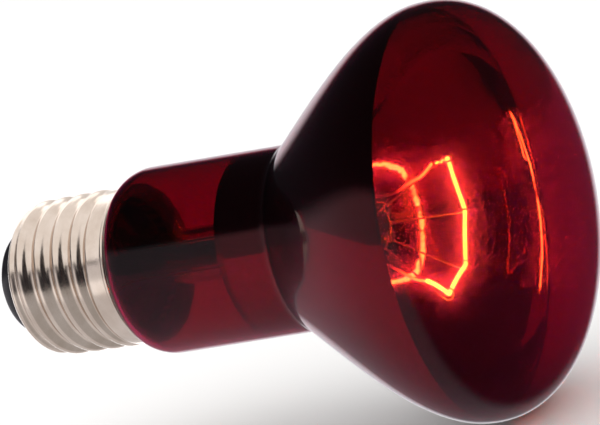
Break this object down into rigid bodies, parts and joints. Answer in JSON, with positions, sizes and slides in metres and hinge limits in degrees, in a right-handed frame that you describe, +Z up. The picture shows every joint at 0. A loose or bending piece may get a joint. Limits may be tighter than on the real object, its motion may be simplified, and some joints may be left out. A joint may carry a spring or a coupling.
{
  "type": "infrared heat lamp",
  "caption": "Red infrared reflector heat lamp: a domed ruby glass bulb with a mirrored bowl, a straight neck and a threaded screw cap.",
  "frame": {"origin": "on the lamp's axis, at the tip of the centre contact", "axes": "+X along the lamp's axis from the cap to the domed face; Y and Z are radial, and +Z is up with the lamp lying level"},
  "size_m": [0.1008, 0.0632, 0.0636],
  "materials": {
    "ruby_glass": "blown ruby glass, smooth and glossy, deep red by transmission and nearly black over the mirror",
    "aluminium_mirror": "vapour-deposited aluminium on the inside of the glass",
    "nickel_shell": "warm bright nickel plate on rolled brass sheet",
    "black_glass": "black vitreous insulation, moulded and glossy",
    "contact_brass": "nickel-washed brass contact plate",
    "solder": "dull lead-free solder",
    "basing_cement": "matt capping cement",
    "clear_glass": "clear soda-lead glass",
    "nickel_wire": "drawn nickel-plated wire",
    "copper_wire": "copper-clad wire",
    "molybdenum": "drawn molybdenum wire",
    "filament_coil": "coiled tungsten, lit"
  },
  "bodies": {
    "root": {"arbor_button": "clear_glass", "basing_cement": "basing_cement", "cap_insulator": "black_glass", "centre_solder": "solder", "contact_plate": "contact_brass", "exhaust_tube": "clear_glass", "filament": "filament_coil", "filament_support_1": "molybdenum", "filament_support_2": "molybdenum", "filament_support_3": "molybdenum", "filament_support_4": "molybdenum", "fuse_sleeve": "clear_glass", "fuse_wire": "copper_wire", "glass_envelope": "ruby_glass", "lead_wire_lower": "nickel_wire", "lead_wire_upper": "nickel_wire", "outer_wire_centre": "copper_wire", "outer_wire_side": "copper_wire", "reflector_coating": "aluminium_mirror", "screw_shell": "nickel_shell", "seal_wire_lower": "copper_wire", "seal_wire_upper": "copper_wire", "side_solder": "solder", "stem_flare": "clear_glass"}
  },
  "joints": []
}
